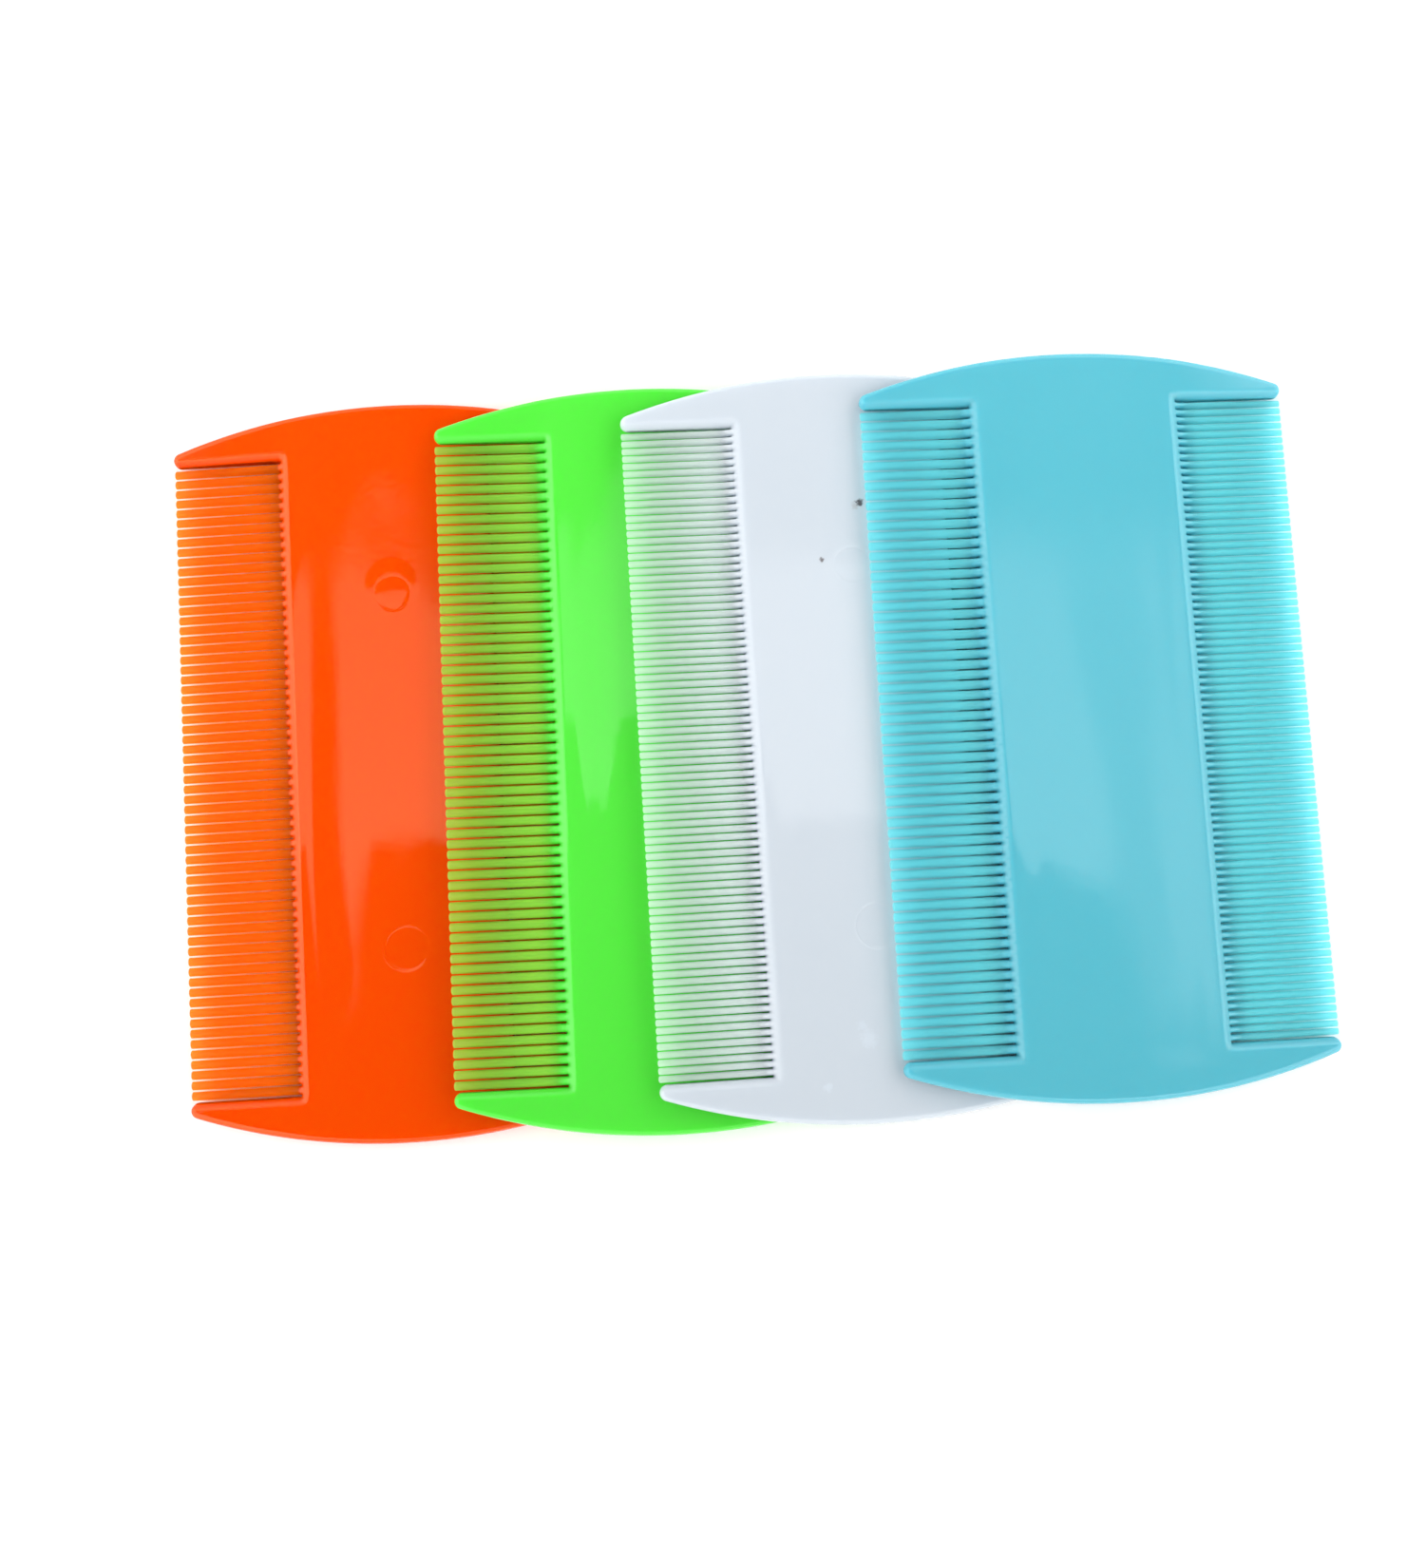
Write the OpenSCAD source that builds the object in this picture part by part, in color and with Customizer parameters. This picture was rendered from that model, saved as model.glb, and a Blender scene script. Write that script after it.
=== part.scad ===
// Double-sided flea combs, a set of four laid out as an overlapping fan.
// Row frame: +X along the fan, +Y along the combs, +Z up; origin at the base's centre.
// Comb frame: u across the comb, v along it, w through it; w = 0 is the middle of the plate.

/* [Comb outline] */
// length of a comb from the top of one end arc to the top of the other, mm
comb_length = 88; // [86:0.5:92]
// width of a comb from tooth tip to tooth tip, mm
comb_width = 51; // [50:0.5:54]
// width of the solid plate between the two rows of gap bottoms, mm
plate_width = 25; // [23:0.5:26]
// radius of the round nose on each guard's tip, mm
nose_radius = 0.95; // [0.8:0.05:1.2]

/* [Teeth] */
// number of gaps in the coarse row
coarse_gaps = 64; // [40:2:64]
// distance from one coarse tooth to the next, mm
coarse_pitch = 1.2; // [1.1:0.05:1.2]
// number of gaps in the fine row
fine_gaps = 85; // [45:2:85]
// distance from one fine tooth to the next, mm
fine_pitch = 0.9; // [0.8:0.05:0.9]
// share of the pitch that is gap at the gap's bottom
root_gap_share = 0.22; // [0.18:0.01:0.4]
// share of the pitch that is gap at the tooth tips
tip_gap_share = 0.3; // [0.26:0.01:0.5]

/* [Thickness] */
// thickness of the plate, mm
plate_thickness = 2.8; // [2.4:0.1:3.2]
// how far the tooth rows lie below the plate and the guards on each face, mm
recess_depth = 0.45; // [0.3:0.05:0.6]
// thinning of one face from the gap bottoms to the tooth tips, mm
face_taper = 0.5; // [0.3:0.05:0.55]
// width of the slope around each recessed tooth row, mm
slope_width = 0.9; // [0.6:0.1:1.2]

/* [Plate details] */
// depth of the long hollow in the middle of the marked face, mm
hollow_depth = 0.34; // [0.1:0.02:0.4]
// depth of the same hollow on the white comb, mm
shallow_hollow_depth = 0.1; // [0.06:0.02:0.3]
// width of the hollow's flat floor, mm
hollow_floor_width = 8; // [6:0.5:8]
// diameter of the gate button at its foot, mm
button_diameter = 6.3; // [4:0.1:7]
// height of the gate button above the hollow's floor, mm
button_height = 0.08; // [0.04:0.01:0.1]
// diameter of the ejector ring, mm
ring_diameter = 5.2; // [4:0.1:6]

/* [Fan] */
// clearance added under each resting comb, mm
rest_gap = 0.05; // [0.04:0.01:0.1]

/* [Hidden] */
$fn = 96;

half_w = comb_width / 2;
half_l = comb_length / 2;
plate_half = plate_width / 2;
tooth_len = half_w - plate_half;
top_w = plate_thickness / 2;
tooth_w = top_w - recess_depth;
taper_angle = atan(face_taper / tooth_len);

// both rows fill the same window between the guards
window_half = ((coarse_gaps - 1) * coarse_pitch + root_gap_share * coarse_pitch) / 2;

// end arc: one circle that also touches the nose on each guard tip
nose_u = half_w - nose_radius;
nose_v = window_half + nose_radius;
nose_drop = half_l - nose_v;
arc_radius = (nose_u * nose_u + nose_drop * nose_drop - nose_radius * nose_radius)
    / (2 * (nose_drop - nose_radius));
nose_angle = atan(nose_u / (arc_radius - nose_drop));

hollow_foot = 7;
hollow_gate_end = 25;
hollow_far_end = 32;

button_at = [0.45, 21.6];
ring_at = [0.6, -21.6];
ring_line = 0.16;
ring_depth = 0.06;

// fan layout: centre x, centre y, turn about +Z, tilt (left edge up), centre height
fan_shift_x = 1.05;
fan_shift_y = -0.03;
orange_pose = [-42.23, 0.25, 0.22, 0, top_w];
green_pose = [-10.41, -0.38, -0.52, 5.25, 3.227 + rest_gap];
white_pose = [12.35, -0.31, 0.37, 6.6, 3.843 + rest_gap];
teal_pose = [40.28, 0.44, -0.07, 6.0, 3.583 + rest_gap];

eps = 0.05;

// ---------------------------------------------------------------- plan shapes
// end arcs, straight sides and the round noses at the four guard tips
module outline() {
    difference() {
        intersection() {
            square([comb_width, comb_length], center = true);
            translate([0, half_l - arc_radius]) circle(arc_radius, $fn = 720);
            translate([0, arc_radius - half_l]) circle(arc_radius, $fn = 720);
        }
        for (su = [0, 1], sv = [0, 1])
            mirror([su, 0]) mirror([0, sv]) nose_cut();
    }
    for (su = [0, 1], sv = [0, 1])
        mirror([su, 0]) mirror([0, sv]) nose();
}

// takes the sharp corner off beyond the line from the arc's centre to the nose's
module nose_cut() {
    translate([nose_u, nose_v])
        rotate(-nose_angle)
            translate([0, -nose_radius * 1.5]) square([3, 4]);
}

module nose() {
    translate([nose_u, nose_v]) circle(nose_radius, $fn = 48);
    translate([nose_u - 2, window_half]) square([2, nose_radius]);
}

// the two windows that the tooth rows fill
module windows() {
    for (s = [0, 1])
        mirror([s, 0])
            translate([plate_half, -window_half]) square([tooth_len + 1, 2 * window_half]);
}

// one round-tipped tooth in plan, root at x = 0
function tooth_points(y, pitch) =
    let (root = pitch * (1 - root_gap_share) / 2, tip = pitch * (1 - tip_gap_share) / 2)
    concat(
        [[0, y - root]],
        [for (a = [-90, -45, 0, 45, 90]) [tooth_len - tip + tip * cos(a), y + tip * sin(a)]],
        [[0, y + root]]
    );

// a whole row with a strip that sinks into the plate
function row_points(gaps, pitch) =
    let (count = gaps - 1, first = -(count - 1) * pitch / 2)
    concat(
        [[-1, -window_half]],
        [[0, -window_half]],
        [for (i = [0:count - 1]) each tooth_points(first + i * pitch, pitch)],
        [[0, window_half]],
        [[-1, window_half]]
    );

module tooth_row(gaps, pitch) {
    translate([plate_half, 0]) polygon(row_points(gaps, pitch));
}

// coarse_side is -1 for coarse teeth on the left, 1 for coarse teeth on the right
module comb_plan(coarse_side) {
    difference() {
        outline();
        windows();
    }
    mirror([coarse_side < 0 ? 1 : 0, 0]) tooth_row(coarse_gaps, coarse_pitch);
    mirror([coarse_side < 0 ? 0 : 1, 0]) tooth_row(fine_gaps, fine_pitch);
}

// ---------------------------------------------------------------- cross-sections
// plate, slope and tooth rows, across the comb
module thin_section() {
    flat = plate_half - slope_width;
    tip_w = tooth_w - face_taper;
    polygon([
        [-half_w, -tip_w], [-plate_half, -tooth_w], [-flat, -top_w],
        [flat, -top_w], [plate_half, -tooth_w], [half_w, -tip_w],
        [half_w, tip_w], [plate_half, tooth_w], [flat, top_w],
        [-flat, top_w], [-plate_half, tooth_w], [-half_w, tip_w]
    ]);
}

// the guards at both ends, across the comb
module guard_section() {
    tip_w = top_w - face_taper;
    polygon([
        [-half_w, -tip_w], [-plate_half, -top_w], [plate_half, -top_w], [half_w, -tip_w],
        [half_w, tip_w], [plate_half, top_w], [-plate_half, top_w], [-half_w, tip_w]
    ]);
}

module along_comb() {
    rotate([90, 0, 0]) linear_extrude(comb_length + 2, center = true) children();
}

// ---------------------------------------------------------------- solids
module thin_body(coarse_side) {
    intersection() {
        linear_extrude(plate_thickness + 2, center = true) comb_plan(coarse_side);
        along_comb() thin_section();
    }
}

// slope that runs along a guard's inner edge, parallel to the tapering face
module guard_slope() {
    run = slope_width / recess_depth;
    translate([plate_half, window_half, tooth_w])
        rotate([0, taper_angle, 0])
            rotate([90, 0, 90])
                translate([0, 0, -slope_width - 0.5])
                    linear_extrude(tooth_len + slope_width + 1.5)
                        polygon([[-eps * run, -eps], [slope_width + 0.1 * run, recess_depth + 0.1],
                                 [-eps * run, recess_depth + 0.1]]);
}

module guards() {
    difference() {
        intersection() {
            linear_extrude(plate_thickness + 2, center = true)
                difference() {
                    outline();
                    square([comb_width + 2, 2 * window_half], center = true);
                }
            along_comb() guard_section();
        }
        for (su = [0, 1], sv = [0, 1], sw = [0, 1])
            mirror([su, 0, 0]) mirror([0, sv, 0]) mirror([0, 0, sw]) guard_slope();
    }
}

// plan of the hollow: round at the gate end, straight-sided towards the other end
module hollow_plan(half, gate_end, far_end) {
    hull() {
        translate([0, 15]) scale([half, gate_end - 15]) circle(1);
        translate([0, -far_end / 2]) square([2 * half, far_end], center = true);
    }
}

// long hollow whose sides slope gently down to a flat floor
module hollow(depth) {
    hull() {
        translate([0, 0, top_w - depth])
            linear_extrude(0.01)
                hollow_plan(hollow_floor_width / 2, hollow_gate_end, hollow_far_end);
        translate([0, 0, top_w])
            linear_extrude(0.5)
                hollow_plan(hollow_floor_width / 2 + hollow_foot, hollow_gate_end + 15,
                            hollow_far_end + 6);
    }
}

// low flat-topped button left by the gate
module gate_button(depth) {
    translate([button_at[0], button_at[1], top_w - depth - eps])
        cylinder(h = min(button_height, depth - 0.02) + eps, d1 = button_diameter, d2 = 3.8);
}

module ejector_ring(depth) {
    translate([ring_at[0], ring_at[1], top_w - depth - ring_depth])
        difference() {
            cylinder(h = 1, d = ring_diameter);
            translate([0, 0, -1]) cylinder(h = 3, d = ring_diameter - 2 * ring_line);
        }
}

module comb(coarse_side, depth = hollow_depth) {
    difference() {
        union() {
            thin_body(coarse_side);
            guards();
        }
        hollow(depth);
        ejector_ring(depth);
    }
    gate_button(depth);
}

module place(pose) {
    translate([pose[0] + fan_shift_x, pose[1] + fan_shift_y, pose[4]])
        rotate([0, 0, pose[2]])
            rotate([0, pose[3], 0])
                children();
}

// ---------------------------------------------------------------- the four combs
module orange_comb() {
    color([1.0, 0.35, 0.0]) place(orange_pose) comb(-1);
}

module green_comb() {
    color([0.33, 0.95, 0.2]) place(green_pose) comb(-1);
}

module white_comb() {
    color([0.87, 0.89, 0.94]) place(white_pose) comb(1, shallow_hollow_depth);
}

// lies with its plain face up
module teal_comb() {
    color([0.4, 0.8, 0.87]) place(teal_pose) rotate([180, 0, 0]) comb(-1);
}

orange_comb();
green_comb();
white_comb();
teal_comb();
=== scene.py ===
"""Four double-sided flea combs in an overlapping fan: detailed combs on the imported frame, studio and camera.

Comb frame, in millimetres: u across the comb, v along it, w through it, with w = 0 on the parting plane.
Face A, at +w, carries the shallow hollow, the gate button and the ejector ring. Face B is plain.
"""
import math

import bpy
import numpy as np
from mathutils import Matrix, Vector
from mathutils.geometry import delaunay_2d_cdt


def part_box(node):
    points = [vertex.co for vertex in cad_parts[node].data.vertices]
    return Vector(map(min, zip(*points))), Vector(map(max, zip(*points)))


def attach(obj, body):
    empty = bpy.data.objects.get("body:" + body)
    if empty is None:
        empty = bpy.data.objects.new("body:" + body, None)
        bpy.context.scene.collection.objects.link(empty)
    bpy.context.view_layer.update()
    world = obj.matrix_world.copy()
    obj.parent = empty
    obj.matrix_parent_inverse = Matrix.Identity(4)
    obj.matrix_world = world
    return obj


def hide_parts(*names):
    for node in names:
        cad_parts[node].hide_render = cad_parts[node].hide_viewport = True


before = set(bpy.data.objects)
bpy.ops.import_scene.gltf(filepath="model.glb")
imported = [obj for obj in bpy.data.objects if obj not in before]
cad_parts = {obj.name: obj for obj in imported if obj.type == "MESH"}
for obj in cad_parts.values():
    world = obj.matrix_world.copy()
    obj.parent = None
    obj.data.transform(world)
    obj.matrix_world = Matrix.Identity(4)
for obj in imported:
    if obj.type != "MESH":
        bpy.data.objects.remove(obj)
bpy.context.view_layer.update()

MM = 0.001

# ------------------------------------------------------------------ one comb's dimensions, mm
LOW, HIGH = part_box("orange_comb")
HALF_WIDTH = 25.5
HALF_LENGTH = min(44.0, (HIGH[1] - LOW[1]) / 2 / MM - 0.02)
PLATE_HALF = 12.5  # half the plate's width, between the gap bottoms
TOOTH_LENGTH = HALF_WIDTH - PLATE_HALF
PLATE_W = 1.4  # half the plate's thickness
RECESS = 0.45  # how far the tooth rows lie below the plate
TAPER, TAPER_KNEE = 0.5, 0.0018  # loss of height towards the tips, and how softly it sets in
SLOPE = 0.9  # width of the slope from the plate down to a row
GUARD_SLOPE = 0.8  # width of the slope from a guard down to a row
NOSE_R = 0.95  # round tip of a guard
WINDOW_HALF = 37.932  # half the length of a tooth row
TIP_ROUND, TIP_THINNING = 1.0, 0.62  # length of the rounded tooth tip, and what it takes off the height
# share of the pitch that a gap takes at the root and at the tip; depth of the round nib in half tip widths
ROOT_GAP, TIP_GAP, TIP_FLAT = 0.14, 0.16, 0.45
# gaps in a row, and their pitch
COARSE = (64, 1.2)
FINE = (85, 0.9)

NOSE_U = HALF_WIDTH - NOSE_R
NOSE_V = WINDOW_HALF + NOSE_R
NOSE_DROP = HALF_LENGTH - NOSE_V
ARC_R = (NOSE_U**2 + NOSE_DROP**2 - NOSE_R**2) / (2 * (NOSE_DROP - NOSE_R))
ARC_V = HALF_LENGTH - ARC_R
NOSE_TURN = math.atan2(NOSE_U, NOSE_V - ARC_V)

# rounding of the rim in mm, of the teeth in pitches, and how full each round is
RIM_ROUND, TOOTH_ROUND = 0.5, 0.4
ROUND_POWER, TOOTH_POWER = 2.3, 1.5
# rows of vertices from the rim inwards
RIM_STEPS = (0.0, 0.02, 0.07, 0.18, 0.38, 0.66, 1.0)

# the middle of face A sinks a little: a long bowl with soft sides, round at the gate end
BOWL_U, BOWL_V, BOWL_STRAIGHT, BOWL_POWER = 11.4, 24.0, 19.0, 1.7
BOWL_START, BOWL_FADE = -46.0, 24.0
# raised gate button with a flat top, and the ring left by the ejector pin
BUTTON_AT, BUTTON_TOP_R, BUTTON_R, BUTTON_H = (0.45, 21.6), 1.9, 3.3, 0.034
GATE_AT, GATE_R = (0.6, 20.7), 2.05
PIN_AT, PIN_R, PIN_DEPTH, PIN_LINE = (0.6, -21.6), 2.6, 0.035, 0.16


# ------------------------------------------------------------------ heights
def smooth(t):
    t = np.clip(t, 0.0, 1.0)
    return t * t * (3 - 2 * t)


def soft_ramp(t):
    """A straight ramp with softened feet."""
    t = np.clip(t, 0.0, 1.0)
    return 0.45 * t + 0.55 * t * t * (3 - 2 * t)


def edge_round(d, rho, power):
    """Share of the full height at a distance d inside a rim that is rounded over rho."""
    s = np.clip(d / rho, 0.0, 1.0)
    return (1 - (1 - s) ** power) ** (1 / power)


def base_height(u, v):
    """Half thickness of the plate, guards and tooth rows before any rim is rounded."""
    a = np.abs(u)
    past = (a - PLATE_HALF) / TOOTH_LENGTH
    guard = PLATE_W - TAPER * 0.5 * (past + np.sqrt(past * past + TAPER_KNEE))
    across = soft_ramp((a - (PLATE_HALF - SLOPE)) / SLOPE)
    along = soft_ramp((WINDOW_HALF + GUARD_SLOPE - np.abs(v)) / GUARD_SLOPE)
    tip = np.clip((a - (HALF_WIDTH - TIP_ROUND)) / TIP_ROUND, 0, 1) * (np.abs(v) < WINDOW_HALF - 0.01)
    return (guard - RECESS * across * along) * np.sqrt(1 - TIP_THINNING * tip * tip)


def swell(u, v, phase):
    """Sinks of a few hundredths of a millimetre that cooling leaves in a moulded plate."""
    slow = 0.012 * np.sin(u / 4.6 + phase) * np.cos(v / 9.5 + 1.7 * phase)
    quick = 0.003 * np.sin(u / 2.1 - v / 6.3 + 2.2 * phase)
    inside = smooth((PLATE_HALF - 1.6 - np.abs(u)) / 3) * smooth((HALF_LENGTH - 2.5 - np.abs(v)) / 4)
    return (slow + quick - 0.015) * inside


def marked_face(u, v, hollow, phase):
    """Height of face A: the plate less the bowl, the gate button and its lens in it, and the pin's ring."""
    h = base_height(u, v) + swell(u, v, phase)
    q = np.hypot(u / BOWL_U, np.maximum(0, v - BOWL_STRAIGHT) / BOWL_V)
    bowl = hollow * (1 - smooth(np.clip(q, 0, 1) ** BOWL_POWER)) * smooth((v - BOWL_START) / BOWL_FADE)
    r = np.hypot(u - BUTTON_AT[0], v - BUTTON_AT[1])
    button = BUTTON_H * smooth((BUTTON_R - r) / (BUTTON_R - BUTTON_TOP_R))
    g = np.hypot(u - GATE_AT[0], v - GATE_AT[1])
    lens = 0.005 * np.maximum(0, GATE_R**2 - g * g) - 0.01 * np.exp(-(((g - GATE_R) / 0.07) ** 2))
    p = np.hypot(u - PIN_AT[0], v - PIN_AT[1])
    uneven = 0.6 + 0.4 * (v - PIN_AT[1] - u + PIN_AT[0]) / np.maximum(p, PIN_R) / math.sqrt(2)
    ring = PIN_DEPTH * uneven * np.exp(-(((p - PIN_R) / (PIN_LINE / 2)) ** 2))
    disc = 0.02 * smooth((PIN_R - p) / 0.2)
    return h - bowl + np.minimum(button + lens, bowl) - ring - disc


def plain_face(u, v, phase):
    """Height of face B."""
    return base_height(u, v) + swell(u, v, phase + 2.0)


# ------------------------------------------------------------------ plan of one comb
NOSE_SEGMENTS, END_SEGMENTS = 10, 64
WELL_INSIDE = 9.0  # a distance from the rim past every rounding
BUTTON_KEEP, PIN_KEEP, LINE_KEEP = 4.3, 3.3, 0.17  # rings of vertices take the lattice's place this far out


def mirrored(samples):
    """The same outline samples on the other side of the comb."""
    return [(-u, v, -mu, mv, rho, body) for u, v, mu, mv, rho, body in samples]


def tooth_side(gaps, pitch):
    """Outline samples along the right-hand tooth row from the bottom guard to the top one.

    Each sample is (u, v, inner u, inner v, rounding, inner point belongs to the body)."""
    h = ROOT_GAP * pitch / 2
    soft = TOOTH_ROUND * pitch
    tip = pitch * (1 - TIP_GAP) / 2
    nib = TIP_FLAT * tip
    root = pitch / 2 - h
    last = (gaps - 1) / 2 * pitch
    spread = WINDOW_HALF - last
    body_v = WINDOW_HALF + GUARD_SLOPE
    straight = TOOTH_LENGTH - nib
    along = [1.3, 4.0, 7.0, 10.0, straight]
    inner_x = [h, -0.32, -SLOPE]
    out = []

    def add(x, y, mx, my, rho, body):
        out.append((PLATE_HALF + x, y, PLATE_HALF + mx, my, rho, body))

    def half_tooth(x):
        return root + (tip - root) * (x - h) / (straight - h)

    def guard(sign):
        reach = NOSE_U - PLATE_HALF
        steps = [0.8, 0.6, 0.42, 0.27, 0.14, 0.06]
        stations = [h + (reach - h) * s for s in steps]
        if sign > 0:
            stations = stations[::-1]
        for x in stations:
            rho = soft + (RIM_ROUND - soft) * x / reach
            add(x, sign * WINDOW_HALF, x, sign * body_v, rho, True)

    def arc(k, sign):
        """Quarter of a gap's round bottom: sign -1 runs in from the lower wall, +1 out to the upper one."""
        yc = -last + k * pitch
        at_guard = (k == 0 and sign < 0) or (k == gaps - 1 and sign > 0)
        half = spread if at_guard else h
        edge = sign * body_v if at_guard else yc + sign * pitch / 2
        turns = [0, 22.5, 45, 67.5, 90]
        targets = [
            (inner_x[0], edge, at_guard),
            (inner_x[1], edge, at_guard),
            (inner_x[2], edge, True),
            (inner_x[2], (edge + yc) / 2, True),
            (inner_x[2], yc, True),
        ]
        rows = list(zip(turns, targets))
        if sign > 0:
            rows = rows[::-1][1:]
        for turn, (mx, my, body) in rows:
            t = math.radians(turn)
            add(h - h * math.sin(t), yc + sign * half * math.cos(t), mx, my, soft, body)

    guard(-1)
    for k in range(gaps):
        arc(k, -1)
        arc(k, 1)
        if k == gaps - 1:
            break
        c = -last + (k + 0.5) * pitch
        for x in along:
            add(x, c - half_tooth(x), x, c, soft, False)
        for turn in (-67, -45, -22, 0, 22, 45, 67):
            t = math.radians(turn)
            add(straight + nib * math.cos(t), c + tip * math.sin(t), straight, c, soft, False)
        for x in along[::-1]:
            add(x, c + half_tooth(x), x, c, soft, False)
    guard(1)
    return out


def nose(sign):
    """Round tip of a guard on the right, from the end arc to the inner edge (bottom) or back (top)."""
    out = []
    start = -math.pi / 2 + NOSE_TURN
    for i in range(1, NOSE_SEGMENTS + 1):
        t = start + (math.pi / 2 - start) * i / NOSE_SEGMENTS
        c, s = math.cos(t), math.sin(t)
        r = NOSE_R - GUARD_SLOPE
        rim, inner = (NOSE_U + NOSE_R * c, -NOSE_V + NOSE_R * s), (NOSE_U + r * c, -NOSE_V + r * s)
        out.append((*rim, *inner, RIM_ROUND, True))
    if sign > 0:
        out = [(u, -v, mu, -mv, rho, body) for u, v, mu, mv, rho, body in out[::-1]]
    return out


def end_arc(sign):
    """The end arc, left to right at the bottom and right to left at the top."""
    out = []
    for i in range(END_SEGMENTS + 1):
        t = NOSE_TURN * (2 * i / END_SEGMENTS - 1) * -sign
        s, c = math.sin(t), math.cos(t)
        r = ARC_R - GUARD_SLOPE
        out.append((ARC_R * s, sign * (ARC_V + ARC_R * c), r * s, sign * (ARC_V + r * c), RIM_ROUND, True))
    return out


def whole_outline(coarse_left):
    left, right = (COARSE, FINE) if coarse_left else (FINE, COARSE)
    right_side = nose(-1) + tooth_side(*right) + nose(1)
    left_side = mirrored(nose(-1) + tooth_side(*left) + nose(1))
    return end_arc(-1) + right_side + end_arc(1) + left_side[::-1]


def off(at, u, v):
    """Distance in plan from a mark."""
    return math.hypot(u - at[0], v - at[1])


def panel_points():
    """Points inside the body: a lattice, finer rows in the ends, rings around the button and the pin mark."""
    columns = [i * 0.6 for i in range(-18, 19)] + [11.25, -11.25]
    points = []
    for i in range(-42, 43):
        v = i * 0.9
        for u in columns:
            if off(BUTTON_AT, u, v) > BUTTON_KEEP and off(PIN_AT, u, v) > PIN_KEEP:
                points.append((u, v))
    across = [i * 0.7 for i in range(17)]
    across += [12.1 + i * 0.3 for i in range(5)]
    across += [13.8 + i * 0.7 for i in range(15)]
    for v in (38.45, 38.98, 39.25, 39.65, 40.15, 40.75, 41.4, 42.1, 42.8):
        for u in across:
            if math.hypot(u, v - ARC_V) < ARC_R - GUARD_SLOPE - 0.2 and (v > 38.8 or u < 11.4):
                points += [(u, v), (-u, v), (u, -v), (-u, -v)] if u else [(u, v), (u, -v)]

    def rings(at, radii, count, keep=lambda u, v: True):
        for j, r in enumerate(radii):
            if r == 0:
                points.append(at)
                continue
            n = max(8, int(count * min(1.0, 0.35 + r / radii[-1])))
            for i in range(n):
                t = 2 * math.pi * (i + 0.5 * (j % 2)) / n
                u, v = at[0] + r * math.cos(t), at[1] + r * math.sin(t)
                if keep(u, v):
                    points.append((u, v))

    def clear_of_gate(u, v):
        return abs(off(GATE_AT, u, v) - GATE_R) > LINE_KEEP

    line = (-0.12, -0.07, -0.03, 0.0, 0.03, 0.07, 0.12)
    button = [0, 0.3, 0.6, 0.9, 1.2, 1.5, 1.8, 2.1, 2.4, 2.7, 3.0, 3.3, 3.6, 3.95]
    rings(BUTTON_AT, button, 64, clear_of_gate)
    rings(GATE_AT, [GATE_R + d for d in line], 72)
    pin = [0, 0.6, 1.2, 1.7, 2.1, 2.3] + [PIN_R + d for d in (-0.18, *line, 0.2)] + [3.05]
    rings(PIN_AT, pin, 84)
    return points


def comb_plan(coarse_left):
    """Plan vertices (u, v, distance from the rim, rounding) and faces as lists of vertex numbers."""
    index, verts = {}, []

    def vertex(u, v, d, rho):
        key = (round(u, 4), round(v, 4))
        if key not in index:
            index[key] = len(verts)
            verts.append((u, v, d, rho))
        return index[key]

    samples = whole_outline(coarse_left)
    strips, loop = [], []
    for u, v, mu, mv, rho, body in samples:
        length = math.hypot(mu - u, mv - v)
        row = []
        for f in RIM_STEPS:
            row.append(vertex(u + f * (mu - u), v + f * (mv - v), f * length, rho))
        strips.append(row)
        if body and (not loop or loop[-1] != row[-1]):
            loop.append(row[-1])
    if loop[0] == loop[-1]:
        loop.pop()

    faces = []
    for a, b in zip(strips, strips[1:] + strips[:1]):
        for k in range(len(RIM_STEPS) - 1):
            ring = [a[k], b[k], b[k + 1], a[k + 1]]
            quad = [p for j, p in enumerate(ring) if p != ring[j - 1]]
            if len(set(quad)) > 2:
                faces.append(quad)

    inner = [(verts[i][0], verts[i][1]) for i in loop]
    extra = panel_points()
    flat = [Vector(p) for p in inner + extra]
    out_verts, _, out_faces, origin = delaunay_2d_cdt(flat, [], [list(range(len(inner)))], 1, 1e-5)[:4]
    ids = []
    for p, source in zip(out_verts, origin):
        on_loop = [s for s in source if s < len(inner)]
        ids.append(loop[on_loop[0]] if on_loop else vertex(p[0], p[1], WELL_INSIDE, RIM_ROUND))
    for f in out_faces:
        tri = [ids[i] for i in f]
        if len(set(tri)) == 3:
            faces.append(tri)
    return np.array(verts), faces


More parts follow.
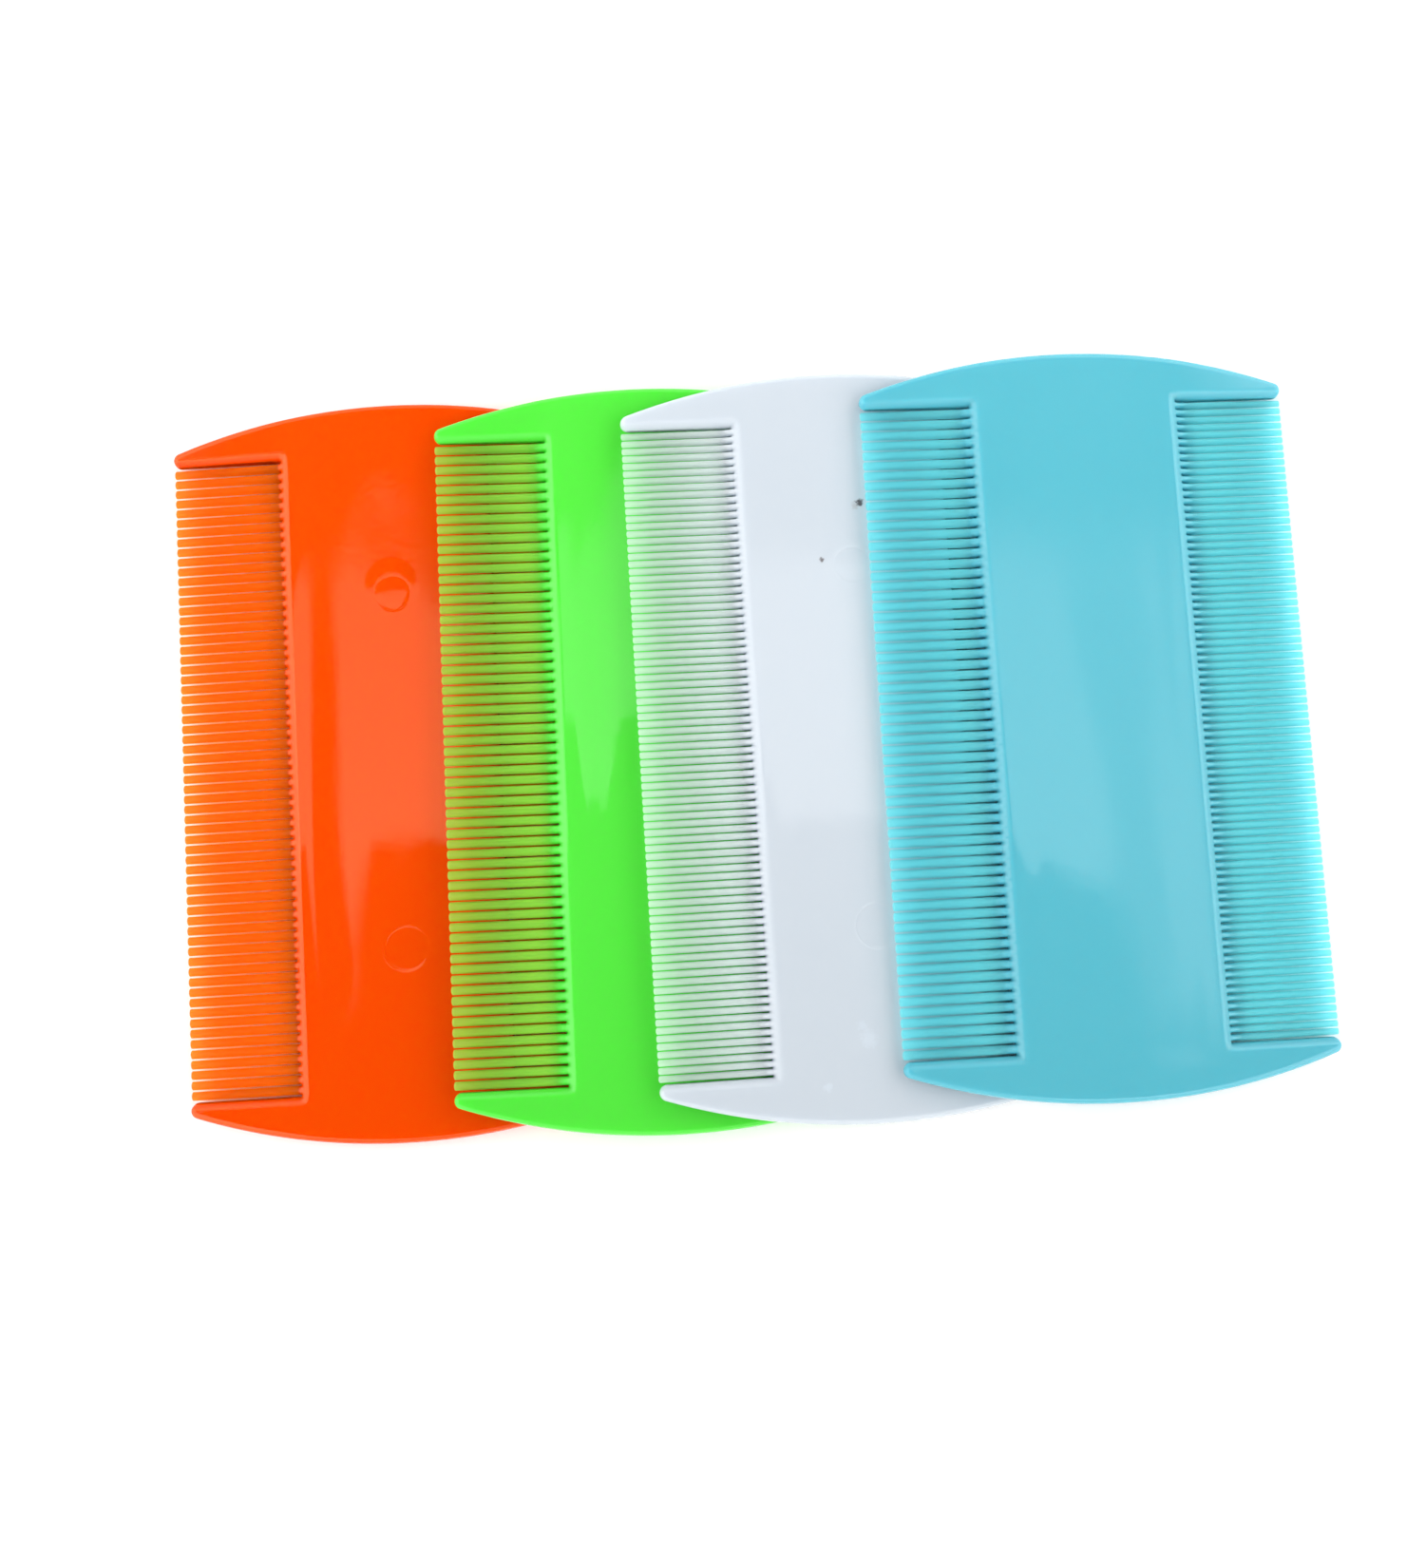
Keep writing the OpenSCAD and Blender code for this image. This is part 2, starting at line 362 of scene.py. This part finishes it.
def comb_mesh(name, coarse_left, hollow, phase, placement):
    """A closed comb: face A above, face B below, meeting in the rim at w = 0."""
    plan, faces = comb_plan(coarse_left)
    u, v, d, rho = plan.T
    ridged = smooth((np.abs(u) - PLATE_HALF) / 0.7) * (np.abs(v) < WINDOW_HALF - 1e-4)
    lift = edge_round(d, rho, ROUND_POWER + (TOOTH_POWER - ROUND_POWER) * ridged)
    top = marked_face(u, v, hollow, phase) * lift
    low = plain_face(u, v, phase) * lift
    count = len(plan)
    rim = d <= 0
    lower = np.where(rim, np.arange(count), 0)
    lower[~rim] = count + np.arange(np.count_nonzero(~rim))
    points = [(a * MM, b * MM, c * MM) for a, b, c in zip(u, v, top)]
    points += [(a * MM, b * MM, -c * MM) for a, b, c in zip(u[~rim], v[~rim], low[~rim])]
    polys = faces + [[int(lower[i]) for i in f[::-1]] for f in faces]
    mesh = bpy.data.meshes.new(name)
    mesh.from_pydata(points, [], polys)
    mesh.validate()
    mesh.transform(placement)
    mesh.polygons.foreach_set("use_smooth", [True] * len(mesh.polygons))
    # how thin the moulding is: 0 in the plate, about 0.4 past the teeth's roots, 1 at their tips
    row = 0.4 * smooth((np.abs(u) - 12.2) / 2.6) + 0.6 * np.clip((np.abs(u) - 14.0) / 11.0, 0, 1)
    row *= smooth((WINDOW_HALF + 0.15 - np.abs(v)) / 0.3)
    # how far down a tooth's flank: 0 on its crest, 1 at its rim, only along the free half of the teeth; it
    # masks the painted shade of the slots between the teeth
    flank = ridged * (1 - smooth((d / rho - 0.05) / 0.55)) * smooth((row - 0.3) / 0.5)
    flank *= smooth((25.4 - np.abs(u)) / 0.5)
    for key, values in (("thin", row), ("flank", flank)):
        layer = mesh.attributes.new(key, "FLOAT", "POINT")
        layer.data.foreach_set("value", np.concatenate([values, values[~rim]]))
    mesh.update()
    return mesh


# ------------------------------------------------------------------ plastics
# share of light let through past the roots, share of that which is clear at the tips, and how much paler the
# teeth are painted towards their tips: painted light on their crests
THIN_SHARE, TIP_CLEAR, TOOTH_PAINTED_LIGHT = 0.78, 0.4, 1.5
# scale, detail and roughness of each noise
DRIFT, CLOUD, PATCH = (55, 3, 0.55), (420, 2, 0.5), (240, 3, 0.6)
PEEL, HAIR, RAGGED = (900, 3, 0.5), (1500, 2, 0.6), (2600, 2, 0.6)
DRIFT_STRETCH, HAIR_STRETCH = (1.0, 0.35, 1.0), (1.0, 0.06, 1.0)
ENDS_Y, FAR_SHADE = 0.045, 0.9  # the colour deepens to this share from +y to -y, in metres
GLOSS, PLASTIC_IOR = (0.022, 0.055), 1.52  # roughness from polished to dry
HAIR_SHARE, SKIN_STRENGTH, SKIN_DEPTH = 0.35, 0.5, 0.0000045  # polishing lines, relief of the skin in metres


def link(tree, a, b):
    tree.links.new(a, b)


def ramp(tree, value, low, high, to_low, to_high, shape="SMOOTHSTEP"):
    node = tree.nodes.new("ShaderNodeMapRange")
    node.interpolation_type = shape
    for key, number in (("From Min", low), ("From Max", high), ("To Min", to_low), ("To Max", to_high)):
        node.inputs[key].default_value = number
    link(tree, value, node.inputs["Value"])
    return node.outputs["Result"]


def scaled(colour, factor):
    return tuple(c * factor for c in colour)


def plastic(name, colour, deep, reach, through, flank_painted_shade, onset, sheen, specks_and_glints=()):
    """Glossy moulded plastic: colour drift along the flow, a fine skin on the gloss, light that soaks in, and
    painted light and shade on the teeth.
    """
    mat = bpy.data.materials.new(name)
    mat.use_nodes = True
    tree = mat.node_tree
    tree.nodes.clear()
    new = tree.nodes.new

    out = new("ShaderNodeOutputMaterial")
    shader = new("ShaderNodeBsdfPrincipled")
    coords = new("ShaderNodeTexCoord")

    def mix(fac, a, b):
        node = new("ShaderNodeMix")
        node.data_type = "RGBA"
        link(tree, fac, node.inputs["Factor"])
        for socket, value in ((node.inputs[6], a), (node.inputs[7], b)):
            if isinstance(value, tuple):
                socket.default_value = (*value, 1)
            else:
                link(tree, value, socket)
        return node.outputs[2]

    def blend(fac, first, second):
        node = new("ShaderNodeMixShader")
        link(tree, fac, node.inputs["Fac"])
        link(tree, first.outputs[0], node.inputs[1])
        link(tree, second.outputs[0], node.inputs[2])
        return node

    # the thin tooth rows let daylight through, softly at the roots and almost clearly at the tips
    thin = new("ShaderNodeAttribute")
    thin.attribute_name = "thin"
    flank = new("ShaderNodeAttribute")
    flank.attribute_name = "flank"
    glow = new("ShaderNodeBsdfTranslucent")
    # painted shade: the light let through is darkened along the teeth's flanks, standing in for the shadow in
    # the slots
    link(tree, mix(flank.outputs["Fac"], through, scaled(through, flank_painted_shade)), glow.inputs["Color"])
    clear = new("ShaderNodeBsdfTransparent")
    faint = tuple(math.sqrt(c) for c in through)
    link(tree, mix(flank.outputs["Fac"], faint, scaled(faint, flank_painted_shade)), clear.inputs["Color"])
    passed = blend(ramp(tree, thin.outputs["Fac"], 0.45, 1.0, 0.0, TIP_CLEAR), glow, clear)
    whole = blend(ramp(tree, thin.outputs["Fac"], 0.0, onset, 0.0, THIN_SHARE), shader, passed)
    link(tree, whole.outputs["Shader"], out.inputs["Surface"])

    def noise(scale, detail, rough, stretch=(1, 1, 1)):
        place = new("ShaderNodeMapping")
        place.inputs["Scale"].default_value = stretch
        link(tree, coords.outputs["Object"], place.inputs["Vector"])
        node = new("ShaderNodeTexNoise")
        node.inputs["Scale"].default_value = scale
        node.inputs["Detail"].default_value = detail
        node.inputs["Roughness"].default_value = rough
        link(tree, place.outputs["Vector"], node.inputs["Vector"])
        return node.outputs["Fac"]

    # the colour drifts slowly, more along the flow than across it, and deepens towards the far end
    drift = noise(*DRIFT, DRIFT_STRETCH)
    cloud = noise(*CLOUD)
    tint = mix(ramp(tree, drift, 0.3, 0.7, 0, 1), colour, deep)
    tint = mix(ramp(tree, cloud, 0.35, 0.7, 0, 0.12), tint, deep)
    split = new("ShaderNodeSeparateXYZ")
    link(tree, coords.outputs["Object"], split.inputs["Vector"])
    far = ramp(tree, split.outputs["Y"], ENDS_Y, -ENDS_Y, 0.0, 1.0, "LINEAR")
    tint = mix(far, tint, scaled(deep, FAR_SHADE))
    # specks: ash-grey dirt, and pale spots that are painted reflections of glossy scuffs
    for at, radius, shade in specks_and_glints:
        place = new("ShaderNodeVectorMath")
        place.operation = "SUBTRACT"
        link(tree, coords.outputs["Object"], place.inputs[0])
        place.inputs[1].default_value = at
        away = new("ShaderNodeVectorMath")
        away.operation = "LENGTH"
        link(tree, place.outputs["Vector"], away.inputs[0])
        wobble = noise(*RAGGED)
        ragged = new("ShaderNodeMath")
        ragged.operation = "MULTIPLY_ADD"
        link(tree, wobble, ragged.inputs[0])
        ragged.inputs[1].default_value = radius * MM * 1.2
        link(tree, away.outputs["Value"], ragged.inputs[2])
        spot = ramp(tree, ragged.outputs["Value"], radius * MM * 0.9, radius * MM * 1.5, 1, 0)
        tint = mix(spot, tint, shade)
    # painted light: the teeth are painted paler towards their tips, standing in for the light on and through
    # their crests
    tint = mix(thin.outputs["Fac"], tint, tuple(min(1.0, c * TOOTH_PAINTED_LIGHT) for c in colour))
    # painted shade: the teeth's flanks are painted darker, standing in for the shadow in the slots between
    # them
    tint = mix(flank.outputs["Fac"], tint, scaled(deep, flank_painted_shade))
    link(tree, tint, shader.inputs["Base Color"])

    # gloss: mostly polished, with a faint dry patchiness and handling marks
    patch = noise(*PATCH)
    link(tree, ramp(tree, patch, 0.3, 0.75, *GLOSS), shader.inputs["Roughness"])
    shader.inputs["IOR"].default_value = PLASTIC_IOR
    shader.inputs["Specular Tint"].default_value = (*sheen, 1)
    shader.inputs["Subsurface Weight"].default_value = 1.0
    shader.inputs["Subsurface Radius"].default_value = reach
    shader.inputs["Subsurface Scale"].default_value = MM

    # skin of the moulding: faint orange peel and hairline polishing marks along the comb
    peel = noise(*PEEL)
    hair = noise(*HAIR, HAIR_STRETCH)
    both = new("ShaderNodeMath")
    both.operation = "MULTIPLY_ADD"
    link(tree, hair, both.inputs[0])
    both.inputs[1].default_value = HAIR_SHARE
    link(tree, peel, both.inputs[2])
    bump = new("ShaderNodeBump")
    bump.inputs["Strength"].default_value = SKIN_STRENGTH
    bump.inputs["Distance"].default_value = SKIN_DEPTH
    link(tree, both.outputs["Value"], bump.inputs["Height"])
    link(tree, bump.outputs["Normal"], shader.inputs["Normal"])
    return mat


# ------------------------------------------------------------------ the four combs
# turn about the vertical and tilt with the left edge up, in degrees; coarse row on the left; flipped, that
# is plain face up; depth of the bowl; phase of the cooling sinks
COMBS = {
    "orange_comb": dict(
        body="orange", turn=0.22, tilt=0.0, coarse_left=True, flipped=False, hollow=0.34, phase=0.4
    ),
    "green_comb": dict(
        body="green", turn=-0.52, tilt=5.25, coarse_left=True, flipped=False, hollow=0.34, phase=1.9
    ),
    "white_comb": dict(
        body="white", turn=0.37, tilt=6.6, coarse_left=False, flipped=False, hollow=0.1, phase=3.1
    ),
    "teal_comb": dict(
        body="teal", turn=-0.07, tilt=6.0, coarse_left=True, flipped=True, hollow=0.34, phase=4.6
    ),
}

# colour and the deeper colour of its drift; reach of red, green and blue light in mm; tint of light that
# comes through the teeth; painted shade on their flanks, for the shadow between teeth; thinness from which
# they let it through; tint of the gloss
PLASTICS = {
    "orange_comb": dict(
        colour=(0.84, 0.080, 0.001), deep=(0.80, 0.072, 0.0), reach=(1.6, 1.1, 0.7),
        through=(1.0, 0.56, 0.09), flank_painted_shade=1.0, onset=0.08, sheen=(1.0, 0.95, 0.55),
    ),
    "green_comb": dict(
        colour=(0.108, 0.745, 0.067), deep=(0.096, 0.715, 0.057), reach=(1.1, 1.6, 1.0),
        through=(0.83, 1.0, 0.37), flank_painted_shade=0.74, onset=0.4, sheen=(1, 1, 1),
    ),
    "white_comb": dict(
        colour=(0.585, 0.64, 0.695), deep=(0.575, 0.63, 0.685), reach=(1.3, 1.3, 1.3),
        through=(0.965, 1.0, 1.0), flank_painted_shade=0.84, onset=0.4, sheen=(1, 1, 1),
    ),
    "teal_comb": dict(
        colour=(0.118, 0.485, 0.582), deep=(0.108, 0.47, 0.567), reach=(1.1, 1.4, 1.5),
        through=(0.55, 0.99, 1.0), flank_painted_shade=0.85, onset=0.4, sheen=(1, 1, 1),
    ),
}

# ash-grey specks, and pale scuffs whose paleness is a painted reflection of glossy marks, on the white comb:
# place in the comb's plane, radius, colour
SPECKS_AND_GLINTS = {
    "white_comb": (
        ((1.5, 27.7), 0.7, (0.50, 0.52, 0.55)),
        ((2.1, 28.1), 0.68, (0.13, 0.12, 0.13)),
        ((-2.9, 21.4), 0.4, (0.2, 0.19, 0.2)),
        ((-2.1, -32.8), 0.9, (0.55, 0.605, 0.66)),
        ((-1.5, -34.3), 1.5, (0.555, 0.61, 0.665)),
        ((-6.5, -39.4), 0.75, (0.56, 0.615, 0.67)),
    )
}


def build_comb(node, body, turn, tilt, coarse_left, flipped, hollow, phase):
    low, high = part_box(node)
    centre = Vector([(a + b) / 2 for a, b in zip(low, high)])
    flip = Matrix.Rotation(math.pi, 4, "X") if flipped else Matrix.Identity(4)
    lean = Matrix.Rotation(math.radians(tilt), 4, "Y")
    swing = Matrix.Rotation(math.radians(turn), 4, "Z")
    placement = Matrix.Translation(centre) @ swing @ lean @ flip
    mesh = comb_mesh(node + "_moulding", coarse_left, hollow, phase, placement)
    obj = bpy.data.objects.new(node + "_moulding", mesh)
    bpy.context.scene.collection.objects.link(obj)
    specks_and_glints = []
    for at, radius, shade in SPECKS_AND_GLINTS.get(node, ()):
        specks_and_glints.append((tuple(placement @ (Vector((*at, PLATE_W)) * MM)), radius, shade))
    mesh.materials.append(plastic(body + "_plastic", specks_and_glints=specks_and_glints, **PLASTICS[node]))
    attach(obj, body)
    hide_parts(node)


for comb_name, facts in COMBS.items():
    build_comb(comb_name, **facts)


# ------------------------------------------------------------------ table, light and camera
def table_material():
    mat = bpy.data.materials.new("pale_table")
    mat.use_nodes = True
    shader = mat.node_tree.nodes["Principled BSDF"]
    shader.inputs["Base Color"].default_value = (0.97, 0.97, 0.97, 1)
    shader.inputs["Roughness"].default_value = 0.85
    shader.inputs["Specular IOR Level"].default_value = 0.2
    return mat


FLOOR_HALF = 3.0
FLOOR_Z = -0.00005
floor_corners = [(x * FLOOR_HALF, y * FLOOR_HALF, FLOOR_Z) for x, y in ((-1, -1), (1, -1), (1, 1), (-1, 1))]
floor_mesh = bpy.data.meshes.new("table_top")
floor_mesh.from_pydata(floor_corners, [], [(0, 1, 2, 3)])
floor_mesh.materials.append(table_material())
floor = bpy.data.objects.new("table_top", floor_mesh)
bpy.context.scene.collection.objects.link(floor)


# The studio as seen from the table, in tangents of the angle from straight up: e to the right, n away.
# Brightness of the walls and of the ceiling. The ceiling is an oval: its middle, height to width, soft edge.
WALLS, CEILING = 2.46, 0.05
OVAL_E, OVAL_N, OVAL_SQUASH, OVAL_EDGE = 0.13, 0.12, 0.7, (0.6, 0.69)
# Edges of the lit window wall, its brightness, how uneven its lower edge is and how soft both edges are,
# as (e, value) corners.
WINDOW_TOP = [
    (-0.4, 0.232), (-0.26, 0.234), (-0.2, 0.245), (-0.16, 0.239), (-0.145, 0.233), (-0.1, 0.233),
    (0.0, 0.262), (0.1, 0.27), (0.15, 0.258), (0.2, 0.24), (0.24, 0.25), (0.36, 0.266), (0.42, 0.262),
    (0.6, 0.258),
]
WINDOW_LOW = [
    (-0.4, 0.088), (-0.205, 0.09), (-0.19, 0.075), (-0.15, 0.035), (-0.14, 0.09), (-0.1, 0.154),
    (0.17, 0.154), (0.19, 0.14), (0.215, 0.10), (0.235, 0.118), (0.286, 0.116), (0.2885, 0.094),
    (0.33, 0.09), (0.38, 0.072), (0.43, 0.04), (0.442, 0.02), (0.462, -0.045), (0.6, -0.05),
]
WINDOW_LEVEL = [
    (-0.4, 1.8), (-0.144, 1.8), (-0.129, 0.0), (0.055, 0.0), (0.065, 1.8), (0.2, 1.7), (0.24, 1.5),
    (0.31, 1.5), (0.36, 1.9), (0.424, 1.9), (0.44, 0.85), (0.468, 0.9), (0.478, 1.7), (0.492, 1.7),
    (0.51, 0.7), (0.6, 0.4),
]
FINGERS = [
    (-0.4, 0.006), (0.06, 0.02), (0.13, 0.02), (0.2, 0.01), (0.245, 0.01), (0.255, 0.12), (0.282, 0.12),
    (0.29, 0.008), (0.6, 0.006),
]
TOP_SOFTNESS = [(-0.4, 0.007), (0.0, 0.007), (0.1, 0.012), (0.3, 0.012), (0.38, 0.035), (0.6, 0.035)]
LOW_SOFTNESS = [
    (-0.4, 0.003), (-0.21, 0.003), (-0.175, 0.03), (-0.14, 0.035), (-0.1, 0.003), (0.33, 0.003),
    (0.42, 0.006), (0.45, 0.025), (0.6, 0.025),
]
FIRST_E, LOWEST = -0.4, -0.2  # where the corners begin, and a value below all of theirs
FINGER_SCALE = 100


def studio():
    """Bright walls low down, a dim ceiling, and a window wall with soft edges that the flat faces mirror."""
    world = bpy.data.worlds.new("studio")
    bpy.context.scene.world = world
    world.use_nodes = True
    tree = world.node_tree
    tree.nodes.clear()
    new = tree.nodes.new
    coords = new("ShaderNodeTexCoord")
    split = new("ShaderNodeSeparateXYZ")
    link(tree, coords.outputs["Generated"], split.inputs["Vector"])

    def maths(operation, *values, clamp=False):
        node = new("ShaderNodeMath")
        node.operation = operation
        node.use_clamp = clamp
        for socket, value in zip(node.inputs, values):
            if isinstance(value, (int, float)):
                socket.default_value = value
            else:
                link(tree, value, socket)
        return node.outputs["Value"]

    up = maths("MAXIMUM", split.outputs["Z"], 0.05)
    east = maths("DIVIDE", split.outputs["X"], up)
    north = maths("DIVIDE", split.outputs["Y"], up)
    place = maths("ADD", east, -FIRST_E, clamp=True)

    def profile(corners):
        """Straight lines between (e, value) corners, raised and halved for a curve that works on 0..1."""
        node = new("ShaderNodeFloatCurve")
        points = node.mapping.curves[0].points
        on_curve = [(e - FIRST_E, (value - LOWEST) / 2) for e, value in corners]
        points[0].location, points[1].location = on_curve[0], on_curve[-1]
        for e, value in on_curve[1:-1]:
            points.new(e, value)
        for point in points:
            point.handle_type = "VECTOR"
        node.mapping.update()
        link(tree, place, node.inputs["Value"])
        return maths("MULTIPLY_ADD", node.outputs["Value"], 2.0, LOWEST)

    strip = new("ShaderNodeCombineXYZ")
    link(tree, east, strip.inputs["X"])
    wave = new("ShaderNodeTexNoise")
    wave.inputs["Scale"].default_value = FINGER_SCALE
    wave.inputs["Detail"].default_value = 1
    link(tree, strip.outputs["Vector"], wave.inputs["Vector"])
    uneven = maths("SUBTRACT", wave.outputs["Fac"], 0.5)
    low = maths("MULTIPLY_ADD", uneven, profile(FINGERS), profile(WINDOW_LOW))
    rise = maths("DIVIDE", maths("SUBTRACT", north, low), profile(LOW_SOFTNESS))
    above = ramp(tree, rise, -1, 1, 0, 1)
    drop = maths("DIVIDE", maths("SUBTRACT", profile(WINDOW_TOP), north), profile(TOP_SOFTNESS))
    below = ramp(tree, drop, -1, 1, 0, 1)
    lit = maths("MULTIPLY", maths("MULTIPLY", above, below), maths("MAXIMUM", profile(WINDOW_LEVEL), 0.0))
    # the window ends above the lower half of the room, and fades a little away from the table
    lit = maths("MULTIPLY", lit, ramp(tree, split.outputs["Z"], 0.75, 0.83, 0, 1))
    lit = maths("MULTIPLY", lit, ramp(tree, north, 0.05, 0.28, 1.15, 0.85))

    # the walls stand around an oval of dim ceiling; they are brightest to the left and the right
    across = maths("SUBTRACT", east, OVAL_E)
    along = maths("MULTIPLY", maths("SUBTRACT", north, OVAL_N), 1 / OVAL_SQUASH)
    oval = maths("SQRT", maths("ADD", maths("MULTIPLY", across, across), maths("MULTIPLY", along, along)))
    walls = ramp(tree, oval, *OVAL_EDGE, CEILING, WALLS)
    flat = maths("SQRT", maths("SUBTRACT", 1.0001, maths("MULTIPLY", split.outputs["Z"], split.outputs["Z"])))
    sideways = maths("DIVIDE", maths("ABSOLUTE", split.outputs["X"]), flat)
    walls = maths("MULTIPLY", walls, ramp(tree, sideways, 0.3, 0.85, 0.45, 1.0))
    walls = maths("MULTIPLY", walls, ramp(tree, split.outputs["Z"], 0.12, 0.34, 0.4, 1.0))

    window = new("ShaderNodeBackground")
    link(tree, lit, window.inputs["Strength"])
    room = new("ShaderNodeBackground")
    room.inputs["Color"].default_value = (1.0, 0.99, 0.98, 1)
    link(tree, walls, room.inputs["Strength"])
    both = new("ShaderNodeAddShader")
    link(tree, window.outputs["Background"], both.inputs[0])
    link(tree, room.outputs["Background"], both.inputs[1])
    out = new("ShaderNodeOutputWorld")
    link(tree, both.outputs["Shader"], out.inputs["Surface"])


studio()

scene = bpy.context.scene
scene.view_settings.view_transform = "Standard"
scene.view_settings.look = "None"

# the camera looks almost straight down, a little from the front and the right
CAMERA_TARGET = Vector((-3.83, -4.12, 1.5)) * MM
CAMERA_DISTANCE = 204.2 * MM
CAMERA_AZIMUTH = math.radians(10.11)
CAMERA_OFF_VERTICAL = math.radians(6.52)
CAMERA_ROLL = math.radians(3.26)
camera_data = bpy.data.cameras.new("camera")
camera_data.sensor_fit = "VERTICAL"
camera_data.sensor_height = 24.0
camera_data.lens = 26.513
camera_data.clip_start = 0.005
camera = bpy.data.objects.new("camera", camera_data)
scene.collection.objects.link(camera)
back = Vector((
    math.sin(CAMERA_AZIMUTH) * math.sin(CAMERA_OFF_VERTICAL),
    -math.cos(CAMERA_AZIMUTH) * math.sin(CAMERA_OFF_VERTICAL),
    math.cos(CAMERA_OFF_VERTICAL),
))
across = (-back).cross(Vector((math.sin(CAMERA_ROLL), math.cos(CAMERA_ROLL), 0))).normalized()
upright = back.cross(across)
pose = Matrix((across, upright, back)).transposed().to_4x4()
pose.translation = CAMERA_TARGET + back * CAMERA_DISTANCE
camera.matrix_world = pose
scene.camera = camera

bpy.context.view_layer.update()
